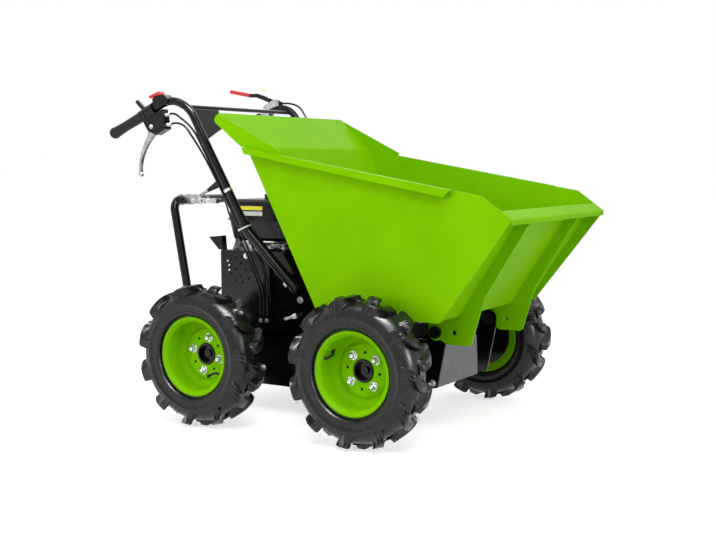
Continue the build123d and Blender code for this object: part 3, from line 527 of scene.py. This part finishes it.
def lugged_tyre():
    """Rounded carcass spun about the axle, then raised into two staggered rows of slanting lugs."""
    shape = bmesh.new()
    lug_radius = shape.verts.layers.float.new("lug_radius")
    lug_width = shape.verts.layers.float.new("lug_width")
    half = tyre_half()
    other = [(radius, -width, over, -across) for radius, width, over, across in reversed(half[:-1])]
    section = []
    for radius, width, over, across in half + other:
        point = shape.verts.new((radius, width, 0))
        point[lug_radius] = over
        point[lug_width] = across
        section.append(point)
    edges = [shape.edges.new(pair) for pair in zip(section, section[1:] + section[:1])]
    bmesh.ops.spin(
        shape, geom=section + edges, cent=(0, 0, 0), axis=(0, 1, 0), angle=2 * pi, steps=TYRE_STEPS,
        use_merge=True,
    )
    for point in shape.verts:
        x, width, z = point.co
        radius = (x * x + z * z) ** 0.5
        angle = atan2(z, x) - LUG_SLANT * (TYRE_HALF_WIDTH - abs(width)) / LUG_RUN
        height = lug_height(angle, width)
        radius += height * (point[lug_radius] - radius)
        width += height * (point[lug_width] - width)
        point.co = (radius * cos(angle), width, radius * sin(angle))
    bmesh.ops.scale(shape, vec=(MM, MM, MM), verts=shape.verts)
    return shape


def mould_hairs(centre, side):
    """Short rubber hairs that the mould's vents leave on the lugs' ends and flanks."""
    parts = []
    for count in range(2 * LUGS):
        angle = -pi / 2 + count * LUG_PITCH / 2 + 0.07
        row = side if count % 2 == 0 else -side
        outward = Vector((cos(angle), 0.25 * row, sin(angle)))
        foot = Vector((HAIR_RADIUS * cos(angle), HAIR_WIDTH * row, HAIR_RADIUS * sin(angle))) * MM
        hair = lathe([(0, 0), (0.7, 0), (0.5, 7), (0, 11)], 5)
        parts.append((hair, seat(centre + foot, outward)))
    return parts


def wheel_nuts(end, side):
    """Four chromed dome nuts on washers, over the studs."""
    parts = []
    for quarter in range(4):
        angle = radians(BOLT_ANGLE[end] + 90 * quarter)
        x = AXLE_X[end] + BOLT_CIRCLE_RADIUS * cos(angle)
        point = at(x, side * DISC_FACE, AXLE_Z + BOLT_CIRCLE_RADIUS * sin(angle))
        washer = lathe([(0, 0), (13.2, 0), (13.2, 1.2), (12.4, 2), (0, 2)])
        nut = lathe([(0, 1.5), (11.2, 1.5), (11.2, 9), (9.6, 10.4), (0, 10.4)], steps=6)
        dome = lathe([(0, 9), (8.6, 9), (8.4, 11.5), (7, 14.4), (4.2, 16.4), (0, 17)])
        parts += [(shape, seat(point, (0, side, 0), turn=angle)) for shape in (washer, nut, dome)]
    return parts


# Radius, degrees round the axle, and distance out, from the rim's barrel to the cap
VALVE_ROUTE = {
    "front": (
        (98, 149, 389), (88, 150, 395), (85, 152, 402), (86, 154, 413), (88, 156, 419), (89.5, 158, 427),
    ),
    "rear": (
        (98, -29, 407), (88, -30, 411), (80, -33, 414), (76, -38, 416), (73, -44, 418), (71, -50, 420),
    ),
}


def valve_stem(end, side):
    """Rubber valve stem: a collar on the rim's barrel, a bend, and a cap on its tip."""
    points = [
        at(AXLE_X[end] + radius * cos(radians(angle)), side * y, AXLE_Z + radius * sin(radians(angle)))
        for radius, angle, y in VALVE_ROUTE[end]
    ]
    collar = lathe([(0, -2), (7, -2), (6.6, 2), (4.6, 6), (0, 6)])
    cap = lathe([(0, 0), (4.4, 0), (4.6, 7), (3.6, 9.5), (0, 10)], steps=16)
    return [
        (bent_rod(points, 3.3), Matrix()),
        (collar, seat(points[0], points[1] - points[0])),
        (cap, seat(points[-2], points[-1] - points[-2])),
    ]


MOULDED_TYRE = lugged_tyre()

for end in ("front", "rear"):
    for side, label in ((1, "left"), (-1, "right")):
        body = f"wheel_{end}_{label}"
        centre = at(AXLE_X[end], side * WHEEL_Y, AXLE_Z)
        tyre = new_piece(
            f"lugged_tyre_{end}_{label}",
            [(MOULDED_TYRE.copy(), Matrix.Translation(centre) @ Matrix.Diagonal((1, side, 1, 1)))]
            + mould_hairs(centre, side),
            FINISH["tyre_rubber"], body, sharp=60,
        )
        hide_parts(f"tyre_{end}_{label}")
        new_piece(f"wheel_nuts_{end}_{label}", wheel_nuts(end, side), CHROME, body)
        new_piece(
            f"valve_stem_{end}_{label}", valve_stem(end, side), FINISH["grip_rubber"], body
        )


# Chassis fasteners and the handle's feet

RIGHT = (0, -1, 0)
LEFT = (0, 1, 0)
ARM_FOOT = (-79, 183, 387)
ARM_WAY = (0.669, -0.131, -0.732)


def both(node, x, z, start=320):
    """The same spot on both sides of a node."""
    return [(land(node, x, z, side, start), (0, side, 0)) for side in (-1, 1)]


bolts(
    "frame_bolts",
    both("side_plates", -239, 221) + both("side_plates", -236, 104) + both("side_plates", -300, 221)
    + both("side_plates", 239, 221) + both("side_plates", 300, 221) + both("side_plates", 364, 148),
    6.5, 6, ZINC_WITH_PAINTED_LIGHT,
)
bolts(
    "gland_bolts", both("side_plates", -214, 284) + both("side_plates", -193, 285),
    5, 5, FINISH["zinc"],
)
bolts("handle_foot_bolts", both("handle_arms", -72, 354), 7, 7, ZINC_WITH_PAINTED_LIGHT)


def foot_clips():
    """Spring clips on the handle's foot plates."""
    lean = Matrix.Rotation(radians(40), 4, "Z")
    spots = both("handle_arms", -107, 399)
    return [(block(6, 14, 5, 1.5), seat(point, outward) @ lean) for point, outward in spots]


def arm_plugs():
    """Domed plugs in the lower ends of the handle arms."""
    plugs = []
    for side in (-1, 1):
        along, across, down = ARM_WAY
        x, y, z = ARM_FOOT
        plug = lathe([(0, -3), (16, -3), (16.2, 1), (15, 4), (11, 6.5), (0, 8)], 32)
        plugs.append((plug, seat(at(x, y * side, z), (along, across * side, down))))
    return plugs


new_piece("foot_clips", foot_clips(), ZINC_WITH_PAINTED_LIGHT, "chassis")
new_piece("arm_plugs", arm_plugs(), FINISH["black_plastic"], "chassis")


def lock_pin():
    """Sprung pin with a hexagon collar, on a stud in the belt cover."""
    stud = land("belt_cover", -92, 305, -1)
    knuckle = stud + Vector((0, -20 * MM, 0))
    end = at(-130, -170, 293)
    along = (end - knuckle).normalized()
    return [
        (bent_rod([stud + Vector((0, 2 * MM, 0)), knuckle], 4), Matrix()),
        (lathe([(0, -7), (8, -7), (8.4, 0), (8, 7), (0, 7)], steps=6), seat(knuckle, along)),
        (lathe([(0, 5), (5.4, 5), (5.4, 20), (4, 22), (0, 22)]), seat(knuckle, along)),
        (bent_rod([knuckle, end], 3), Matrix()),
        (coil(4.6, 0.8, 6, 16), seat(knuckle + along * 22 * MM, along)),
    ]


new_piece("lock_pin", lock_pin(), ZINC_WITH_PAINTED_LIGHT, "chassis")


# Engine: fasteners, stay and lining of the belt cover, films on the tank, throttle and governor links

THROTTLE_SHADE_PLATE_Y = -116
COVER_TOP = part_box("belt_cover")[1][2] / MM


def cover_rivets():
    """Domed rivets along the belt cover's edges."""
    spots = [(-357, 456), (-352, 443), (-352, 428), (-92, 470), (-92, 300)]
    dome = [(0, 0), (3.6, 0), (3.3, 1.4), (2, 2.6), (0, 3)]
    return [(lathe(dome, 16), seat(land("belt_cover", x, z, -1), RIGHT)) for x, z in spots]


def cover_stay():
    """Black rod down the belt cover, held by two clips."""
    high = land("belt_cover", -196, 470, -1) + Vector((0, -6 * MM, 0))
    low = land("belt_cover", -196, 342, -1) + Vector((0, -6 * MM, 0))
    inward = Vector((0, 8 * MM, 0))
    spots = [high.lerp(low, share) for share in (0.12, 0.88)]
    clips = [(block(14, 10, 11, 2), seat(spot + inward * 0.85, RIGHT)) for spot in spots]
    return [(bent_rod([high + inward, high, low, low + inward], 3.2), Matrix())] + clips


def tank_film(x_low, x_high, z_low, z_high):
    """Thin film laid on the tank's right face."""
    shape = bmesh.new()
    bmesh.ops.create_grid(shape, x_segments=10, y_segments=4, size=0.5)
    for point in shape.verts:
        x = x_low + (point.co.x + 0.5) * (x_high - x_low)
        z = z_low + (point.co.y + 0.5) * (z_high - z_low)
        point.co = land("fuel_tank", x, z, -1) + Vector((0, -0.7 * MM, 0))
    bmesh.ops.recalc_face_normals(shape, faces=shape.faces)
    bmesh.ops.solidify(shape, geom=shape.faces[:], thickness=0.5 * MM)
    return [(shape, Matrix())]


def cover_lining():
    """Foam sheet behind the cover's vents."""
    point = land("belt_cover", -308, 470, -1) + Vector((0, 3 * MM, 0))
    point.z = 432 * MM
    return [(block(118, 104, 6, 2), seat(point, LEFT))]


new_piece("cover_lining", cover_lining(), FINISH["grip_rubber"], "chassis")
bolts("cover_bolt", [(land("belt_cover", -288, 474, -1), RIGHT)], 5.5, 5, ZINC_WITH_PAINTED_LIGHT)
new_piece("cover_rivets", cover_rivets(), ZINC_WITH_PAINTED_LIGHT, "chassis")
new_piece("cover_stay", cover_stay(), FINISH["black_plastic"], "chassis")
new_piece("tank_film_yellow", tank_film(-336, -247, 612, 624), YELLOW, "chassis")
new_piece("tank_film_pale", tank_film(-322, -247, 595, 608), PALE, "chassis")


def governor_links():
    """Spring and link rods between the carburettor and the governor's arm."""
    low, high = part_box("carburettor")
    nut = [(0, 0), (4.6, 0), (4.6, 4), (3.8, 5), (0, 5)]
    arm = Vector((low[0], low[1], high[2])) + Vector((10, 4, -8)) * MM
    lever = Vector((high[0], low[1], high[2])) + Vector((-20, 6, -12)) * MM
    run = (lever - arm).normalized()
    gap = (lever - arm).length / MM
    return [
        (coil(4, 0.7, 12, gap * 0.6), seat(arm.lerp(lever, 0.2), run)),
        (bent_rod([arm, arm.lerp(lever, 0.2)], 0.9), Matrix()),
        (bent_rod([arm.lerp(lever, 0.8), lever], 0.9), Matrix()),
        (lathe([(0, -1), (6, -1), (6, 1), (0, 1)]), seat(lever, RIGHT)),
        (lathe(nut, 6), seat(lever, RIGHT)),
        (lathe(nut, 6), seat(arm, RIGHT)),
    ]


def throttle_plate_as_shade():
    """Black control plate that stands on the belt cover's top, with its foot; made tall and wide as painted
    shade, a dark sheet that darkens the spot behind the throttle links.
    """
    foot = (block(96, 22, 3, 1), Matrix.Translation(at(-192, -103, COVER_TOP)))
    # Painted shade: the plate is tall and black so that it darkens the spot behind the links, which lies in
    # shade.
    plate = (block(112, 3, 24, 1), Matrix.Translation(at(-190, THROTTLE_SHADE_PLATE_Y + 1.5, COVER_TOP)))
    return [foot, plate]


def throttle_links():
    """In front of the plate: two bolts, a return spring on its hooks and two crossing rods."""
    spring_y, rod_y = THROTTLE_SHADE_PLATE_Y - 8, THROTTLE_SHADE_PLATE_Y - 4

    def rod(y, radius, *points):
        return bent_rod([at(x, y, COVER_TOP + rise) for x, rise in points], radius), Matrix()

    parts = [
        (coil(3.4, 0.7, 11, 34), seat(at(-212, spring_y, COVER_TOP + 16), (1, 0, 0.1))),
        rod(spring_y, 0.9, (-228, 14), (-211, 16)),
        rod(spring_y, 0.9, (-179, 19), (-160, 21)),
        rod(rod_y, 1.4, (-232, 3), (-190, 12), (-158, 22)),
        rod(rod_y + 3, 1.2, (-214, 21), (-188, 11), (-166, 4)),
    ]
    for x, rise in ((-222, 11), (-172, 9)):
        point = at(x, THROTTLE_SHADE_PLATE_Y, COVER_TOP + rise)
        parts += [(shape, seat(point, RIGHT)) for shape in hex_bolt(3.6, 4)]
    return parts


# Painted shade: the black plate also darkens the spot behind the throttle links.
new_piece("throttle_plate_as_shade", throttle_plate_as_shade(), FINISH["black_paint"], "chassis")
new_piece("throttle_links", throttle_links(), ZINC_WITH_PAINTED_LIGHT, "chassis")
new_piece("governor_links", governor_links(), ZINC_WITH_PAINTED_LIGHT, "chassis")


# Handlebar fittings: the legs run from the bend at the top to the joint with the arms

LEG_CORNER = Vector((-418, -280, 966))
LEG_JOINT = Vector((-243, -217, 579))


def on_leg(share, side=-1):
    """A point on a handle leg's axis, and the way down along it."""
    spot = LEG_CORNER.lerp(LEG_JOINT, share)
    way = (LEG_JOINT - LEG_CORNER).normalized()
    return at(spot.x, -side * spot.y, spot.z), Vector((way.x, -side * way.y, way.z))


def leg_band(side):
    """Clamp band round a handle leg, with its screw."""
    point, way = on_leg(0.75, side)
    outward = Vector((0.35, side, 0.1))
    outward = (outward - way * outward.dot(way)).normalized()
    band = lathe([(12, -4.5), (13.1, -4.5), (13.3, 0), (13.1, 4.5), (12, 4.5), (12, -4.5)], 32)
    lug = block(10, 7, 5, 1)
    return [(band, seat(point, way)), (lug, seat(point + outward * 12.6 * MM, outward))]


def cable_tie():
    """Nylon tie round the right arm and the cables beside it, with its head and a short tail."""
    point, way = on_leg(1.04)
    point = point + Vector((-4, -2, 0)) * MM
    strap = lathe([(20.2, -2.2), (21.5, -2.2), (21.5, 2.2), (20.2, 2.2), (20.2, -2.2)], 40)
    across = way.cross(Vector(RIGHT)).normalized()
    out = way.cross(across).normalized()
    if out.y > 0:
        out = -out
    head = point + (out * 20 + across * 3) * MM
    front = across if across.x > 0 else -across
    tail = [head + (out * away + front * ahead) * MM for away, ahead in ((3, 0), (9, 8), (11, 22))]
    return [
        (strap, seat(point, way)),
        (block(7, 6, 5, 1), seat(head, out)),
        (bent_rod(tail, 1.3), Matrix()),
    ]


def cable_adjuster(share):
    """Threaded adjuster and its lock nut, where a cable leaves the lever housing."""
    low, high = Vector((-474, 858)), Vector((-486, 917))
    spot = low.lerp(high, share)
    rise = (high - low).normalized()
    ahead = Vector((rise.y, 0, -rise.x))
    point = at(spot.x, -280, spot.y)
    nut = lathe([(3.3, 0), (6.4, 0), (6.4, 3.6), (5.6, 4.6), (3.3, 4.6)], 6)
    thread = [(3.3, 4)] + [
        (radius, 4 + 1.4 * turn + step) for turn in range(8) for radius, step in ((4.6, 0.1), (3.9, 0.8))
    ] + [(3.3, 15.5)]
    return [(nut, seat(point, ahead)), (lathe(thread, 20), seat(point, ahead))]


for side, label in ((1, "left"), (-1, "right")):
    new_piece(f"leg_band_{label}", leg_band(side), ZINC_WITH_PAINTED_LIGHT, "chassis")
new_piece("cable_tie", cable_tie(), NYLON, "chassis")
new_piece("cable_adjusters", cable_adjuster(0.2) + cable_adjuster(0.7), ZINC_WITH_PAINTED_LIGHT, "chassis")
bolts("lever_bolt", [(land("lever_housing", -530, 866, -1), RIGHT)], 4.6, 5, ZINC_WITH_PAINTED_LIGHT)


def drive_knob():
    """A thin stem above the drive lever's pivot, and the knob on it."""
    top = at(-532, 280, 1003)
    foot = at(-500, 280, 962)
    stem = bent_rod([foot, foot.lerp(top, 0.6), top], 2)
    knob = lathe([(0, -6), (3, -6), (4.6, -3), (4.6, 3), (3, 5.6), (0, 6.6)])
    return [(stem, Matrix())], [(knob, seat(top, top - foot))]


stem, knob = drive_knob()
new_piece("drive_stem", stem, ZINC_WITH_PAINTED_LIGHT, "chassis")
new_piece("drive_knob", knob, YELLOW, "chassis")


def gate_spots():
    """Where the bolts go through the shift gate's drilled plate."""
    near = land("shift_gate", -510, 640, -1)
    return [(at(x, near.y / MM, 638), RIGHT) for x in (-522, -462)]


bolts("gate_bolts", gate_spots(), 5.5, 6, ZINC_WITH_PAINTED_LIGHT)


# Stage: white floor, soft light, and the photograph's camera

PAPER_GLOW = 0.66
ROOM_LIGHT = 0.42
WHITE = 1.0
# Each lamp: name, place and aim, size, watts, and whether it gives matte light, gloss or both.
# Gloss alone puts highlights on rubber and tube; matte light alone doesn't bleach the bright metal.
LAMPS = (
    ("key", (2.2, -2.6, 3.6), (0, 0, 0.4), (2.0, 2.0), 84, "both"),
    ("strip", (0.1, -0.9, 3.0), (0.1, -0.45, 0.3), (2.4, 0.6), 20, "both"),
    ("front", (4.6, -1.2, 1.3), (0.3, 0, 0.4), (2.0, 2.0), 40, "both"),
    ("fill", (-2.6, -3.6, 1.3), (0, 0, 0.4), (2.4, 1.8), 64, "matte"),
    ("back", (-1.0, 4.0, 3.6), (0, 0, 0.5), (3.0, 3.0), 45, "both"),
    ("sheen", (0.8, -0.9, 3.0), (0.1, -0.4, 0.25), (1.8, 0.7), 170, "gloss"),
    ("rake", (3.6, -0.6, 1.4), (0.2, -0.4, 0.25), (0.7, 1.0), 70, "gloss"),
)


def seen_as_background(tree):
    """1 for the rays that show the background: straight from the camera, or by way of metal or glass."""
    path = add(tree, "LightPath")
    mirrored = add(tree, "Math", operation="MAXIMUM")
    tree.links.new(path.outputs["Is Camera Ray"], mirrored.inputs[0])
    tree.links.new(path.outputs["Is Glossy Ray"], mirrored.inputs[1])
    shown = add(tree, "Math", operation="MAXIMUM")
    tree.links.new(mirrored.outputs["Value"], shown.inputs[0])
    tree.links.new(path.outputs["Is Transmission Ray"], shown.inputs[1])
    return shown.outputs["Value"]


def floor_paper():
    """White background paper: matt, and bright enough to the camera to meet the white behind it."""
    made, tree, shader, place = new_material("floor_paper", Roughness=0.9, Specular_IOR_Level=0.1)
    mottled(tree, shader, place, "#E4E4E4", "#E7E7E7", 400)
    glow = add(tree, "Math", operation="MULTIPLY")
    tree.links.new(seen_as_background(tree), glow.inputs[0])
    glow.inputs[1].default_value = PAPER_GLOW
    shader.inputs["Emission Color"].default_value = linear("#FFFFFF")
    tree.links.new(glow.outputs["Value"], shader.inputs["Emission Strength"])
    return made


def studio():
    """A wide paper floor, an even white room, and the lamps."""
    mesh = bpy.data.meshes.new("floor")
    shape = bmesh.new()
    bmesh.ops.create_grid(shape, x_segments=1, y_segments=1, size=60)
    shape.to_mesh(mesh)
    shape.free()
    floor = bpy.data.objects.new("floor", mesh)
    bpy.context.collection.objects.link(floor)
    mesh.materials.append(floor_paper())
    world = bpy.data.worlds.new("studio")
    bpy.context.scene.world = world
    world.use_nodes = True
    tree = world.node_tree
    back = tree.nodes["Background"]
    back.inputs["Color"].default_value = linear("#FFFFFF")
    level = add(tree, "MapRange", {"Value": seen_as_background(tree), "To Min": ROOM_LIGHT, "To Max": WHITE})
    tree.links.new(level.outputs["Result"], back.inputs["Strength"])
    for name, place, aim, size, watts, gives in LAMPS:
        lamp = bpy.data.lights.new(name, "AREA")
        lamp.energy = watts
        lamp.shape = "RECTANGLE"
        lamp.size, lamp.size_y = size
        holder = bpy.data.objects.new(name, lamp)
        bpy.context.collection.objects.link(holder)
        holder.location = place
        holder.rotation_euler = (Vector(aim) - Vector(place)).to_track_quat("-Z", "Y").to_euler()
        holder.visible_diffuse = gives != "gloss"
        holder.visible_glossy = gives != "matte"


def photo_camera():
    """The camera that the photograph was taken with, as fitted to the wheels and the tub."""
    data = bpy.data.cameras.new("camera")
    data.lens = LENS_MM
    data.sensor_width = SENSOR_MM
    data.clip_end = 200
    camera = bpy.data.objects.new("camera", data)
    bpy.context.collection.objects.link(camera)
    back = Vector((sin(AZIMUTH) * cos(ELEVATION), -cos(AZIMUTH) * cos(ELEVATION), sin(ELEVATION)))
    right = Vector((cos(AZIMUTH), sin(AZIMUTH), 0))
    up = back.cross(right)
    turn = Matrix((right, up, back)).transposed() @ Matrix.Rotation(ROLL, 3, "Z")
    camera.matrix_world = Matrix.Translation(EYE) @ turn.to_4x4()
    bpy.context.scene.camera = camera


studio()
photo_camera()
bpy.context.scene.view_settings.view_transform = "Standard"
